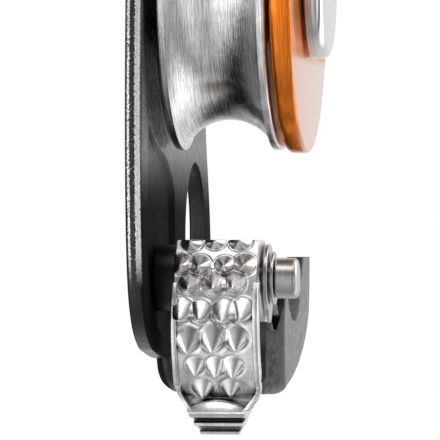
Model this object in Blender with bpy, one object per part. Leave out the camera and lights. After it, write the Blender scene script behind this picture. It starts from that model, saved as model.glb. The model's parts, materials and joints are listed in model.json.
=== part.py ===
"""Rope grab: a pulley with a toothed cam that lets the rope run one way only.

Frame: +X along the axle, from the fixed side plate to the swinging one, +Z up.
The cam is on the -Y side. The origin is the centre of the attachment eye.
Outlines are drawn in the YZ plane, measured from the axle.
"""

import math

import bmesh
import bpy
from mathutils import Matrix, Vector

MM = 0.001
GAP = 0.3 * MM
FINE = 64
COARSE = 32

# Places, measured from the attachment eye
AXLE_DROP = 56 * MM
AXLE = Vector((0, 0, -AXLE_DROP))
CAM_PIN = AXLE + Vector((0, -7.5 * MM, -40.6 * MM))
STUD = AXLE + Vector((0, -11 * MM, 42.5 * MM))
CATCH = AXLE + Vector((0, 11 * MM, 42.5 * MM))

# Attachment eye and side plates
EYE_RADIUS = 9 * MM
LOBE_RADIUS = 16.5 * MM
WALL_OUTER_X = -10.9 * MM
WALL_THICKNESS = 2.3 * MM
PLATE_INNER_X = 8.3 * MM
PLATE_THICKNESS = 2.7 * MM
PLATE_RADIUS = 23.3 * MM
BEND_START = 29.5 * MM
BEND_END = 38.5 * MM
WALL_BEND = 8.4 * MM
PLATE_BEND = -8.1 * MM

# Folded end of the body
FLOOR_THICKNESS = 2.8 * MM
EAR_OUTER_X = 5.9 * MM
EAR_THICKNESS = 2.4 * MM
BECKET = Vector((0, 28 * MM, -35 * MM))
BECKET_RADIUS = 10.7 * MM
FOLD_RADIUS = 4.5 * MM
EAR_FOLD_RADIUS = 2 * MM
POCKET_DEPTH = 0.8 * MM
NEAR_EDGE_SLANT = 0.85

# Sheave and its two ball bearings
SHEAVE_RADIUS = 22.9 * MM
SHEAVE_HALF_WIDTH = 7.5 * MM
GROOVE_RADIUS = 7.2 * MM
GROOVE_BOTTOM = 18.7 * MM
BEARING_CENTRE = 3.8 * MM
BEARING_HALF_WIDTH = 2.8 * MM
BEARING_OUTER = 12 * MM
BALL_PITCH = 9.2 * MM
BALL_RADIUS = 1.7 * MM
BALL_COUNT = 8
AXLE_RADIUS = 6 * MM
BUTTON_RADIUS = 10.3 * MM
BUTTON_FACE_X = 13.9 * MM

# Cam
CAM_HALF_WIDTH = 5.6 * MM
CAM_WALL = 1.4 * MM
CAM_RIM_X = 5.95 * MM
CAM_TOP = 5.3 * MM
CAM_PIN_RADIUS = 2.2 * MM
CAM_HEAD_RADIUS = 2.8 * MM
TOOTH_RADIUS = 1.45 * MM
TOOTH_HEIGHT = 1.5 * MM
TOOTH_ROOT = 0.7 * MM
# Each row of teeth: height from the cam's pin in mm, size, lean and where its teeth stand across
# the face in mm
TOOTH_ROWS = [(4.9, 0.9, 0.7, (-3.6, -0.3, 3.1)), (2.1, 0.92, 0.75, (-4.2, -2.1, 1.2, 4.0)),
              (-0.9, 1, 0.85, (-3.5, -0.1, 2.6)), (-4.9, 1, 0.95, (-4.1, -1.6, 1.4, 4.0)),
              (-8.8, 1.1, 1.05, (-3.7, -0.2, 3.0)), (-12, 0.88, 0.95, (-2.8, 0, 2.3)),
              (-14.6, 0.86, 0.85, (-2, 1.8))]


def clear_scene():
    for old in list(bpy.data.objects):
        bpy.data.objects.remove(old, do_unlink=True)


def material(name, colour, roughness, metallic):
    made = bpy.data.materials.new(name)
    made.use_nodes = True
    shader = made.node_tree.nodes["Principled BSDF"]
    shader.inputs["Base Color"].default_value = (*colour, 1)
    shader.inputs["Roughness"].default_value = roughness
    shader.inputs["Metallic"].default_value = metallic
    return made


def place(name, bm, look, location=AXLE):
    """Turn a bmesh, drawn around location, into a smooth-shaded object."""
    bmesh.ops.recalc_face_normals(bm, faces=bm.faces)
    mesh = bpy.data.meshes.new(name)
    bm.to_mesh(mesh)
    bm.free()
    mesh.shade_smooth()
    mesh.set_sharp_from_angle(angle=math.radians(35))
    if look:
        mesh.materials.append(look)
    obj = bpy.data.objects.new(name, mesh)
    obj.location = location
    bpy.context.scene.collection.objects.link(obj)
    return obj


def cutter(name, bm, location=AXLE):
    obj = place(name, bm, None, location)
    obj.hide_render = True
    obj.display_type = "WIRE"
    return obj


def combine(obj, operation, other):
    step = obj.modifiers.new(other.name, "BOOLEAN")
    step.operation = operation
    step.solver = "EXACT"
    step.object = other


def arc(y, z, radius, start, end, steps):
    """Points of an arc in the YZ plane; angles in degrees, from +Y towards +Z."""
    points = []
    for i in range(steps + 1):
        angle = math.radians(start + (end - start) * i / steps)
        points.append((y + radius * math.cos(angle), z + radius * math.sin(angle)))
    return points


def smooth(points, steps=4):
    """A Catmull-Rom curve through the points, ends included."""
    ends = [points[0]] + list(points) + [points[-1]]
    curve = []
    for a, b, c, d in zip(ends, ends[1:], ends[2:], ends[3:]):
        for i in range(steps):
            t = i / steps
            curve.append(tuple(
                0.5 * (2 * q + (r - p) * t + (2 * p - 5 * q + 4 * r - s) * t ** 2
                       + (3 * q - p - 3 * r + s) * t ** 3)
                for p, q, r, s in zip(a, b, c, d)))
    curve.append(points[-1])
    return curve


def scaled(points):
    return [(y * MM, z * MM) for y, z in points]


def slab(outline, x_low, x_high):
    """A plate of the YZ outline, from x_low to x_high."""
    bm = bmesh.new()
    corners = [bm.verts.new((x_low, y, z)) for y, z in outline]
    face = bm.faces.new(corners)
    grown = bmesh.ops.extrude_face_region(bm, geom=[face])
    moved = [item for item in grown["geom"] if isinstance(item, bmesh.types.BMVert)]
    bmesh.ops.translate(bm, verts=moved, vec=(x_high - x_low, 0, 0))
    return bm


def turned(profile, steps=FINE):
    """Spin a closed (x, radius) profile once around the X axis."""
    bm = bmesh.new()
    corners = [bm.verts.new((x, radius, 0)) for x, radius in profile]
    edges = [bm.edges.new(pair) for pair in zip(corners, corners[1:] + corners[:1])]
    bmesh.ops.spin(bm, geom=corners + edges, cent=(0, 0, 0), axis=(1, 0, 0),
                   angle=math.tau, steps=steps)
    bmesh.ops.remove_doubles(bm, verts=bm.verts, dist=0.002 * MM)
    bmesh.ops.dissolve_degenerate(bm, edges=bm.edges, dist=0.001 * MM)
    return bm


def rod(x_low, x_high, radius, steps=COARSE, centre=(0, 0)):
    return slab(arc(*centre, radius, 0, 360 * (steps - 1) / steps, steps - 1), x_low, x_high)


def ring(x_low, x_high, inner, outer, steps=FINE):
    return turned([(x_low, inner), (x_high, inner), (x_high, outer), (x_low, outer)], steps)


def bend(bm, shift):
    """Move the plate's top by shift along X, through an S-shaped bend."""
    levels = 6
    for i in range(levels + 1):
        height = BEND_START + (BEND_END - BEND_START) * i / levels
        everything = list(bm.verts) + list(bm.edges) + list(bm.faces)
        bmesh.ops.bisect_plane(bm, geom=everything, plane_co=(0, 0, height), plane_no=(0, 0, 1))
    for vert in bm.verts:
        t = min(max((vert.co.z - BEND_START) / (BEND_END - BEND_START), 0), 1)
        vert.co.x += shift * t * t * (3 - 2 * t)


# ---------------------------------------------------------------- fixed body

def wall_outline():
    lobe = arc(0, AXLE_DROP, LOBE_RADIUS, 0, 180, 16)
    front = smooth([(-16.5, 56), (-16.8, 42), (-18.6, 30), (-22.8, 16), (-26.2, 0),
                    (-27.2, -17), (-26.6, -31), (-24.8, -41), (-21, -46.8), (-15, -49.9),
                    (-8.5, -51), (-2, -51.7), (4, -51)], 3)
    back = smooth([(46.5, -42), (45, -32), (40.5, -20), (37, -6), (30, 12), (22, 28),
                   (17.5, 42), (16.5, 56)], 3)
    return lobe + scaled(front[1:]) + scaled(back[:-1])


def lobe_outline(inset):
    """Outline of the folded end: inset 0 outside, the floor's thickness inside."""
    curve = smooth([(0, -46), (0, -53), (4, -56.8), (14, -57.2), (25, -56.4), (35.5, -53.8),
                    (42, -50.2), (45.6, -45.5), (46.5, -38)], 3)
    centre = Vector((24 * MM, -40 * MM))
    points = []
    for y, z in scaled(curve):
        offset = Vector((y, z)) - centre
        points.append(tuple(centre + offset * (1 - inset / offset.length)))
    return points


def folded_end():
    """The floor, the ear and the web that joins them behind the becket.

    Lofted across X; near both sides the outline is drawn in, which rounds the folds.
    """
    turns = [(1 - math.cos(a), 1 - math.sin(a)) for a in (math.radians(90 * i / 5) for i in range(6))]
    stations = [(WALL_OUTER_X + FOLD_RADIUS * x, FOLD_RADIUS * inset) for x, inset in turns]
    stations += [(EAR_OUTER_X - EAR_FOLD_RADIUS * x, EAR_FOLD_RADIUS * inset)
                 for x, inset in reversed(turns)]
    bm = bmesh.new()
    loops = []
    for x, inset in stations:
        outline = []
        for (y, z), (y_in, z_in) in zip(lobe_outline(0), lobe_outline(inset)):
            t = min(max((-46 * MM - z) / (7 * MM), 0), 1)
            y += (y_in - y) * t
            z += (z_in - z) * t
            nearness = min(max((20 * MM - y) / (20 * MM), 0), 1)
            y += nearness * NEAR_EDGE_SLANT * (x - WALL_OUTER_X)
            outline.append((y, z))
        outline += scaled([(16, -38), (15.5, -44)])
        loops.append([bm.verts.new((x, y, z)) for y, z in outline])
    for a, b in zip(loops, loops[1:]):
        for i in range(len(a)):
            k = (i + 1) % len(a)
            bm.faces.new((a[i], a[k], b[k], b[i]))
    bm.faces.new(loops[0])
    bm.faces.new(loops[-1])
    end = cutter("cut_folded_end", bm)
    inside = lobe_outline(FLOOR_THICKNESS)
    opening = [(-30 * MM, inside[0][1])] + scaled([(-30, -52.5)])
    inner = [point for point in inside if point[1] < -44 * MM and point[0] > 3 * MM]
    channel = opening + inner + scaled([(44.2, -40), (60, -40), (60, -20), (-30, -20)])
    bm = slab(channel, WALL_OUTER_X + WALL_THICKNESS, EAR_OUTER_X - EAR_THICKNESS)
    combine(end, "DIFFERENCE", cutter("cut_channel", bm))
    return end


def pocket():
    """The shallow recess in the inner face, from below the sheave to around the cam."""
    edge = smooth([(-19.6, -19), (-15.6, -20.8), (-12, -21.9), (-2.4, -24), (3, -26.4), (6, -28.5),
                   (6.6, -38), (6, -46), (-2, -48.3), (-10, -47.6), (-18, -43.6), (-21, -36),
                   (-20.8, -25), (-19.6, -19)], 2)
    return slab(scaled(edge[:-1]), WALL_OUTER_X + WALL_THICKNESS - POCKET_DEPTH, 0)


def body(look):
    bm = slab(wall_outline(), WALL_OUTER_X, WALL_OUTER_X + WALL_THICKNESS)
    bend(bm, WALL_BEND)
    obj = place("body", bm, look)
    combine(obj, "UNION", folded_end())
    combine(obj, "DIFFERENCE", cutter("cut_pocket", pocket()))
    becket = rod(-20 * MM, 20 * MM, BECKET_RADIUS, COARSE, (BECKET.y, BECKET.z))
    combine(obj, "DIFFERENCE", cutter("cut_becket", becket))
    eye = rod(-20 * MM, 20 * MM, EYE_RADIUS, COARSE, (0, AXLE_DROP))
    combine(obj, "DIFFERENCE", cutter("cut_body_eye", eye))
    combine(obj, "DIFFERENCE", cutter("cut_axle_hole", rod(-20 * MM, 0, AXLE_RADIUS + GAP)))
    pin = rod(-20 * MM, 0, CAM_PIN_RADIUS + GAP, 24)
    combine(obj, "DIFFERENCE", cutter("cut_pin_hole", pin, CAM_PIN))
    stud = rod(-20 * MM, 20 * MM, 2.2 * MM + GAP, 24)
    combine(obj, "DIFFERENCE", cutter("cut_stud_hole", stud, STUD))
    scallop = rod(0, 10 * MM, BECKET_RADIUS, COARSE, (26.5 * MM, -36.4 * MM))
    combine(obj, "DIFFERENCE", cutter("cut_ear_scallop", scallop))
    return obj


# --------------------------------------------------------- swinging side plate

def side_plate(look):
    lobe = arc(0, AXLE_DROP, LOBE_RADIUS, 0, 180, 16)
    front = smooth([(-16.5, 56), (-16.8, 42), (-18.2, 32), (-20.4, 19), (-22.3, 6.8)], 3)[:-1]
    back = [(-y, z) for y, z in reversed(front)]
    foot = arc(0, 0, PLATE_RADIUS, 163, 377, 36)
    outline = lobe + scaled(front[1:]) + foot + scaled(back[:-1])
    bm = slab(outline, PLATE_INNER_X, PLATE_INNER_X + PLATE_THICKNESS)
    bend(bm, PLATE_BEND)
    obj = place("side_plate", bm, look)
    eye = rod(-20 * MM, 20 * MM, EYE_RADIUS, COARSE, (0, AXLE_DROP))
    combine(obj, "DIFFERENCE", cutter("cut_plate_eye", eye))
    hub = rod(0, 20 * MM, AXLE_RADIUS + 1.8 * MM)
    combine(obj, "DIFFERENCE", cutter("cut_bush_hole", hub))
    pivot = rod(-20 * MM, 20 * MM, 1.6 * MM + GAP, 24)
    combine(obj, "DIFFERENCE", cutter("cut_catch_hole", pivot, CATCH))
    combine(obj, "DIFFERENCE", cutter("cut_notch", notch()))
    return obj


def notch():
    """The stud's way out of the plate, an arc about the axle."""
    reach = math.hypot(STUD.y - AXLE.y, STUD.z - AXLE.z)
    angle = math.degrees(math.atan2(STUD.z - AXLE.z, STUD.y - AXLE.y))
    half = 2.7 * MM
    end = (STUD.y - AXLE.y, STUD.z - AXLE.z)
    outer = arc(0, 0, reach + half, angle, angle + 16, 5)
    inner = arc(0, 0, reach - half, angle + 16, angle, 5)
    tip = arc(*end, half, angle - 180, angle, 8)
    return slab(outer + inner + tip[1:-1], -20 * MM, 20 * MM)


def locking_stud(look):
    bend_face = WALL_OUTER_X + WALL_BEND
    profile = [(bend_face - 1.3 * MM, 0), (bend_face - 1.3 * MM, 3.2 * MM),
               (bend_face - GAP, 4 * MM), (bend_face - GAP, 2.2 * MM),
               (3.2 * MM, 2.2 * MM), (3.2 * MM, 4 * MM), (3.9 * MM, 4 * MM), (4.4 * MM, 3.2 * MM),
               (4.4 * MM, 0)]
    return place("locking_stud", turned(profile, COARSE), look, STUD)


def catch_lever(look):
    """A bar below the eye, from its pivot to the cap over the stud, with a thumb tab."""
    across = STUD.y - CATCH.y
    top = smooth([(5, 0), (3.6, 3.5), (0, 4.4), (-5, 3.6), (-11, 2.6), (-17, 3.4), (-22, 4.4),
                  (-26.5, 5.5), (-29, 3.5)], 3)
    under = smooth([(-29, 3.5), (-28.4, -2), (-25, -4.4), (-21, -4.4), (-15, -2.6), (-9, -2.6),
                    (-4, -3.8), (0, -4.4), (3.6, -3.5), (5, 0)], 3)
    bm = slab(scaled(top[:-1] + under[:-1]), 4.8 * MM, 7 * MM)
    for vert in bm.verts:
        beyond = across - 5 * MM - vert.co.y
        if beyond > 0:
            vert.co.x -= beyond * 0.35
    obj = place("catch_lever", bm, look, CATCH)
    combine(obj, "DIFFERENCE", cutter("cut_lever_hole", rod(0, 20 * MM, 1.9 * MM, 24), CATCH))
    return obj


def catch_pin(look):
    profile = [(0.5 * MM, 0), (0.5 * MM, 1.6 * MM), (7.3 * MM, 1.6 * MM), (7.3 * MM, 3.2 * MM),
               (7.9 * MM, 3.2 * MM), (8.3 * MM, 2.5 * MM), (8.3 * MM, 0)]
    return place("catch_pin", turned(profile, 24), look, CATCH)


def coil(name, look, centre, x_low, x_high, radius, wire, turns, sides=6, per_turn=14):
    """A round-wire coil about an axis along X, with both ends capped."""
    bm = bmesh.new()
    count = int(turns * per_turn)
    rings = []
    for i in range(count + 1):
        angle = math.tau * i / per_turn
        x = x_low + wire + (x_high - x_low - 2 * wire) * i / count
        out = Vector((0, math.cos(angle), math.sin(angle)))
        loop = []
        for k in range(sides):
            around = math.tau * k / sides
            point = out * (radius + wire * math.cos(around))
            loop.append(bm.verts.new((x + wire * math.sin(around), point.y, point.z)))
        rings.append(loop)
    for a, b in zip(rings, rings[1:]):
        for k in range(sides):
            bm.faces.new((a[k], a[(k + 1) % sides], b[(k + 1) % sides], b[k]))
    bm.faces.new(rings[0])
    bm.faces.new(rings[-1])
    return place(name, bm, look, centre)


# ------------------------------------------------------------------ sheave set

def sheave(look):
    """Turned wheel with a round groove between two rims."""
    half = SHEAVE_HALF_WIDTH
    centre = GROOVE_BOTTOM + GROOVE_RADIUS
    crest = 65
    groove = []
    for i in range(13):
        angle = math.radians(-crest + 2 * crest * i / 12)
        groove.append((GROOVE_RADIUS * math.sin(angle), centre - GROOVE_RADIUS * math.cos(angle)))
    bore = BEARING_OUTER + GAP
    right = [(half - 0.3 * MM, SHEAVE_RADIUS), (half, SHEAVE_RADIUS - 0.5 * MM),
             (half, 17.5 * MM), (half - 0.8 * MM, 16.7 * MM), (half - 0.8 * MM, bore)]
    left = [(-x, radius) for x, radius in reversed(right)]
    return place("sheave", turned(groove + right + left), look)


def race(name, look, centre, inner, outer):
    """Bearing ring; the ball track is on the side that faces the pitch circle."""
    track = BALL_RADIUS + GAP
    half = BEARING_HALF_WIDTH
    faces_out = inner < BALL_PITCH - BALL_RADIUS
    edge = outer if faces_out else inner
    reach = math.sqrt(track ** 2 - (edge - BALL_PITCH) ** 2)
    profile = [(half, inner + outer - edge), (-half, inner + outer - edge), (-half, edge)]
    for i in range(7):
        x = reach * (i / 3 - 1)
        depth = math.sqrt(max(track ** 2 - x ** 2, 0))
        profile.append((x, BALL_PITCH - depth if faces_out else BALL_PITCH + depth))
    profile.append((half, edge))
    return place(name, turned(profile, COARSE), look, AXLE + Vector((centre, 0, 0)))


def balls(name, look, centre):
    """The balls of one bearing, evenly spaced on the pitch circle."""
    for i in range(BALL_COUNT):
        angle = math.tau * i / BALL_COUNT
        spot = Vector((0, math.cos(angle), math.sin(angle))) * BALL_PITCH
        bm = bmesh.new()
        bmesh.ops.create_icosphere(bm, subdivisions=2, radius=BALL_RADIUS)
        place(f"{name}_{i + 1}", bm, look, AXLE + spot + Vector((centre, 0, 0)))


def cage(name, look, centre, side):
    """Crown cage: a ring beside the balls with a finger between each two."""
    inner = BALL_PITCH - 0.6 * MM
    outer = BALL_PITCH + 0.6 * MM
    finger = 0.8 * MM / BALL_PITCH
    slope = 0.05
    bm = bmesh.new()
    sections = []
    for i in range(BALL_COUNT):
        middle = math.tau * (i + 0.5) / BALL_COUNT
        steps = [(-finger - slope, 2.05), (-finger, -1), (finger, -1), (finger + slope, 2.05),
                 (math.pi / BALL_COUNT, 2.05)]
        for offset, depth in steps:
            angle = middle + offset
            out = Vector((0, math.cos(angle), math.sin(angle)))
            loop = [out * inner + Vector((side * depth * MM, 0, 0)),
                    out * outer + Vector((side * depth * MM, 0, 0)),
                    out * outer + Vector((side * 2.6 * MM, 0, 0)),
                    out * inner + Vector((side * 2.6 * MM, 0, 0))]
            sections.append([bm.verts.new(point) for point in loop])
    for a, b in zip(sections, sections[1:] + sections[:1]):
        for k in range(4):
            bm.faces.new((a[k], a[(k + 1) % 4], b[(k + 1) % 4], b[k]))
    return place(name, bm, look, AXLE + Vector((centre, 0, 0)))


def bearing(side_name, side, steel, brass, rubber):
    centre = side * BEARING_CENTRE
    race("outer_race_" + side_name, steel, centre, 10.4 * MM, BEARING_OUTER)
    race("inner_race_" + side_name, steel, centre, AXLE_RADIUS + GAP, 8 * MM)
    balls("ball_" + side_name, steel, centre)
    cage("cage_" + side_name, brass, centre, -side)
    bm = ring(-0.25 * MM, 0.25 * MM, 8.3 * MM, 10.1 * MM, COARSE)
    place("seal_" + side_name, bm, rubber, AXLE + Vector((side * 6.3 * MM, 0, 0)))


def axle(look):
    """Shaft with a riveted head on the outside of the body."""
    head = WALL_OUTER_X - GAP
    end = 11.3 * MM
    profile = [(head - 1.5 * MM, 0), (head - 1.5 * MM, 8 * MM), (head - 0.9 * MM, 9 * MM),
               (head, 9 * MM), (head, AXLE_RADIUS), (end, AXLE_RADIUS), (end, 0)]
    return place("axle", turned(profile), look)


def axle_button(look):
    """Polished cap with two fine rings turned near its base."""
    base = PLATE_INNER_X + PLATE_THICKNESS + GAP
    r = BUTTON_RADIUS
    rim = [(BUTTON_FACE_X - 1.2 * MM + 1.2 * MM * math.sin(math.radians(a)),
            r - 1.2 * MM + 1.2 * MM * math.cos(math.radians(a))) for a in (0, 30, 60, 90)]
    profile = [(base + 0.8 * MM, 0), (base + 0.8 * MM, AXLE_RADIUS + GAP), (base, AXLE_RADIUS + GAP),
               (base, r - 0.2 * MM), (base + 0.2 * MM, r)] + rim + [(BUTTON_FACE_X, 0)]
    return place("axle_button", turned(profile), look)


# --------------------------------------------------------------------- cam set

def face_point(t):
    """Side view of the toothed face from its pin: a spiral that grows towards the tab.

    t runs from 0 at the top edge to 1 at the last teeth.
    """
    angle = math.radians(132 - 107 * t)
    radius = (7.9 + 8 * t ** 2) * MM
    return Vector((-radius * math.sin(angle), -radius * math.cos(angle)))


def face_at(height):
    """How far along the face, from 0 to 1, a height below the pin is reached."""
    t = 0.5
    for _ in range(40):
        t += (face_point(t).y - height) * 30
    return t


def cam_profile():
    """Side view: the toothed face, the ledge and lip, the ribbed tab, the back and the hub."""
    face = [tuple(face_point(i / 12)) for i in range(13)]
    ledge = [(-6.3, -17.1), (-8.5, -18.28), (-8.85, -18.65), (-8.3, -19.05), (-7.5, -19.1)]
    tab = [(-7.45, -19.6), (-7.95, -19.8), (-6.9, -20.1), (-6.85, -20.6), (-7.2, -20.8), (-6.3, -21.25),
           (-3.6, -21.3)]
    back = [(-2.6, -18.6), (0, -13), (2.6, -8.6), (4.6, -4)]
    hub = arc(0, 0, 5.2 * MM, -25, 95, 8)
    return face + scaled(ledge + tab + back) + hub


def behind_face(start, end, depth, steps):
    """Points that follow the face at a depth below it."""
    points = []
    for i in range(steps + 1):
        point = face_point(start + (end - start) * i / steps)
        points.append(tuple(point * (1 - depth / point.length)))
    return points


def pocket_profile():
    """The hollow behind the face, open towards the back."""
    return behind_face(0, 0.83, 1.5 * MM, 10) + scaled([(4, -13), (12, -6), (12, 8), (-2, 8)])


def relief_profile():
    """What sets the cam's sides back behind the lower half of the face."""
    return behind_face(0.36, 0.98, 2.2 * MM, 8) + scaled([(-3.4, -17.5), (-2.4, -26), (12, -26),
                                                         (12, -6), (1, -6)])


def rim_profile():
    """The raised rim along each side of the face's lower half."""
    outer = [tuple(face_point(0.42))] + behind_face(0.5, 1.02, -0.35 * MM, 7)
    return outer + behind_face(0.42, 1.02, 2 * MM, 8)[::-1]


def cam_taper(side):
    """What narrows the lower end of the cam towards the tab."""
    points = [(2.5, -24), (2.5, -21.4), (4.2, -18.7), (6.1, -15.2), (8, -15.2), (8, -24)]
    bm = bmesh.new()
    corners = [bm.verts.new((side * x * MM, -30 * MM, z * MM)) for x, z in points]
    face = bm.faces.new(corners)
    grown = bmesh.ops.extrude_face_region(bm, geom=[face])
    moved = [item for item in grown["geom"] if isinstance(item, bmesh.types.BMVert)]
    bmesh.ops.translate(bm, verts=moved, vec=(0, 60 * MM, 0))
    return bm


def tooth(x, height, size, lean):
    """A cone on the face that leans towards the tab."""
    t = face_at(height)
    spot = face_point(t)
    along = (face_point(t + 0.01) - face_point(t - 0.01)).normalized()
    out = Vector((along.y, -along.x))
    foot = spot - out * TOOTH_ROOT
    tip = spot + (out + along * lean) * TOOTH_HEIGHT * size
    sides = 10
    bm = bmesh.new()
    loops = []
    for centre, radius in ((foot, TOOTH_RADIUS * size), (spot, TOOTH_RADIUS * size), (tip, 0.1 * MM)):
        loop = []
        for k in range(sides):
            angle = math.tau * k / sides
            point = centre + along * radius * math.sin(angle)
            loop.append(bm.verts.new((x + radius * math.cos(angle), point.x, point.y)))
        loops.append(loop)
    for a, b in zip(loops, loops[1:]):
        for k in range(sides):
            bm.faces.new((a[k], a[(k + 1) % sides], b[(k + 1) % sides], b[k]))
    bm.faces.new(loops[0])
    bm.faces.new(loops[-1])
    return bm


def cam(look):
    bm = slab(cam_profile(), -CAM_HALF_WIDTH, CAM_HALF_WIDTH)
    obj = place("cam", bm, look, CAM_PIN)
    hollow = slab(pocket_profile(), CAM_WALL - CAM_HALF_WIDTH, CAM_HALF_WIDTH - CAM_WALL)
    combine(obj, "DIFFERENCE", cutter("cut_cam_pocket", hollow, CAM_PIN))
    for side, name in ((-1, "left"), (1, "right")):
        low, high = sorted((side * (CAM_HALF_WIDTH - 1.1 * MM), side * 8 * MM))
        relief = slab(relief_profile(), low, high)
        combine(obj, "DIFFERENCE", cutter("cut_cam_relief_" + name, relief, CAM_PIN))
        low, high = sorted((side * (CAM_RIM_X - 0.5 * MM), side * CAM_RIM_X))
        combine(obj, "UNION", cutter("add_rim_" + name, slab(rim_profile(), low, high), CAM_PIN))
        combine(obj, "DIFFERENCE", cutter("cut_cam_taper_" + name, cam_taper(side), CAM_PIN))
    bore = rod(-20 * MM, 20 * MM, 2.8 * MM, 24)
    combine(obj, "DIFFERENCE", cutter("cut_cam_bore", bore, CAM_PIN))
    count = 0
    for height, size, lean, places in TOOTH_ROWS:
        for x in places:
            count += 1
            bm = tooth(x * MM, height * MM, size, lean)
            combine(obj, "UNION", cutter(f"add_tooth_{count}", bm, CAM_PIN))
    above = [(-20 * MM, CAM_TOP), (0, CAM_TOP), (0, 12 * MM), (-20 * MM, 12 * MM)]
    combine(obj, "DIFFERENCE", cutter("cut_cam_top", slab(above, -8 * MM, 8 * MM), CAM_PIN))
    sides = slab(scaled([(-30, -30), (-30, 30), (30, 30), (30, -30)]), CAM_RIM_X, 9 * MM)
    combine(obj, "DIFFERENCE", cutter("cut_cam_side", sides, CAM_PIN))
    return obj


def cam_pin(look):
    """Pin held in the body at its left end only, with the big head on the right."""
    head = WALL_OUTER_X - GAP
    r = CAM_PIN_RADIUS
    big = CAM_HEAD_RADIUS
    profile = [(head - 1.1 * MM, 0), (head - 1.1 * MM, 3 * MM), (head, 3.8 * MM), (head, r),
               (7.35 * MM, r), (7.35 * MM, big), (9.9 * MM, big), (10.4 * MM, big - 0.5 * MM),
               (10.4 * MM, 0)]
    return place("cam_pin", turned(profile, COARSE), look, CAM_PIN)


def cam_lock_leaf(look):
    """Thin disc beside the cam with a pointed tongue below."""
    edge = arc(0, 0, 4.7 * MM, -50, 250, 30) + scaled([(-1.2, -5.1), (0.6, -6.1), (2, -5.2)])
    obj = place("cam_lock_leaf", slab(edge, 5.95 * MM, 6.5 * MM), look, CAM_PIN)
    hole = rod(0, 20 * MM, CAM_PIN_RADIUS + GAP, 24)
    combine(obj, "DIFFERENCE", cutter("cut_leaf_hole", hole, CAM_PIN))
    return obj


def main():
    clear_scene()
    black = material("body_black", (0.025, 0.025, 0.028), 0.35, 0.6)
    orange = material("anodised_orange", (0.85, 0.27, 0.02), 0.3, 0.9)
    alloy = material("turned_alloy", (0.83, 0.84, 0.86), 0.22, 1)
    stainless = material("stainless", (0.62, 0.61, 0.6), 0.28, 1)
    polished = material("polished_steel", (0.75, 0.75, 0.76), 0.12, 1)
    spring_steel = material("spring_steel", (0.45, 0.45, 0.47), 0.3, 1)
    bronze = material("bronze", (0.72, 0.47, 0.2), 0.35, 1)
    rubber = material("rubber", (0.02, 0.02, 0.02), 0.7, 0)
    red = material("catch_red", (0.6, 0.03, 0.02), 0.35, 0.4)

    body(black)
    side_plate(orange)
    sheave(alloy)
    bearing("left", -1, polished, bronze, rubber)
    bearing("right", 1, polished, bronze, rubber)
    axle(polished)
    axle_button(polished)
    place("bearing_spacer", ring(-0.7 * MM, 0.7 * MM, 6.3 * MM, 7.6 * MM, COARSE), stainless)
    place("spacer_left", ring(-8.3 * MM, -6.9 * MM, 6.3 * MM, 8 * MM, COARSE), stainless)
    place("spacer_right", ring(6.9 * MM, 8 * MM, 6.3 * MM, 8 * MM, COARSE), stainless)
    place("side_plate_bush", ring(8.3 * MM, 11 * MM, 6.3 * MM, 7.5 * MM, COARSE), bronze)

    cam(stainless)
    cam_pin(stainless)
    cam_lock_leaf(stainless)
    place("cam_bush", ring(-3.9 * MM, 3.9 * MM, 2.5 * MM, 3.1 * MM, 24), bronze, CAM_PIN)
    place("cam_washer", ring(-9.1 * MM, -6.2 * MM, 2.5 * MM, 4.6 * MM, COARSE), black, CAM_PIN)
    place("pin_washer", ring(6.8 * MM, 7.2 * MM, 2.5 * MM, 3.65 * MM, COARSE), stainless, CAM_PIN)
    coil("cam_spring", spring_steel, CAM_PIN, -3.9 * MM, 3.9 * MM, 3.9 * MM, 0.4 * MM, 6)

    locking_stud(polished)
    catch_lever(red)
    catch_pin(polished)
    coil("catch_spring", spring_steel, CATCH, 3.2 * MM, 4.5 * MM, 2.6 * MM, 0.22 * MM, 1.5)


main()
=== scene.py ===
"""Rope grab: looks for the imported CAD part.

Outlines are drawn in the YZ plane in metres, measured from the axle or from the cam's pin.
"""
import json
import math

import bmesh
import bpy
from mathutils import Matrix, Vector


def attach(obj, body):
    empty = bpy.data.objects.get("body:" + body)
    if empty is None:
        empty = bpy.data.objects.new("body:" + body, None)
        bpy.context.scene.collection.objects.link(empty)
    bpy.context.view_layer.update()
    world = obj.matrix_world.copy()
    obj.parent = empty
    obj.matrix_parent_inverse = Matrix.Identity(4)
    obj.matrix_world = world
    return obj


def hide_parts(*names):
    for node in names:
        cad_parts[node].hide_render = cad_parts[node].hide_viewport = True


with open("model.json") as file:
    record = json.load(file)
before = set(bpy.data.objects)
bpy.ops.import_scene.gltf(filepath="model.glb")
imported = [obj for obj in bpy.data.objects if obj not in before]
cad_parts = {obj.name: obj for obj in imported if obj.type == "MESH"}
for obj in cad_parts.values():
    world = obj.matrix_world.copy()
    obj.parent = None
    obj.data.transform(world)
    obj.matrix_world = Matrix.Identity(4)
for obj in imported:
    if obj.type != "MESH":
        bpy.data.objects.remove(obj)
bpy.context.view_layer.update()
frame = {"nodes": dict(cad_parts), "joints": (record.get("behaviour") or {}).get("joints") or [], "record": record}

MM = 0.001
JOINTS = {joint["name"]: joint for joint in frame["joints"]}
AXLE = Vector(JOINTS["sheave_spin"]["pos_m"])
CAM_PIN = Vector(JOINTS["cam_pivot"]["pos_m"])
CATCH = Vector(JOINTS["catch_press"]["pos_m"])
STUD = AXLE + Vector((0, -11 * MM, 42.5 * MM))
LIFT = -AXLE.z

WALL = (-10.9 * MM, -8.6 * MM)
PLATE = (8.3 * MM, 11 * MM)
BEND = (29.5 * MM, 38.5 * MM)
BUTTON_FACE = 13.9 * MM


# ------------------------------------------------------------------ geometry

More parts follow.
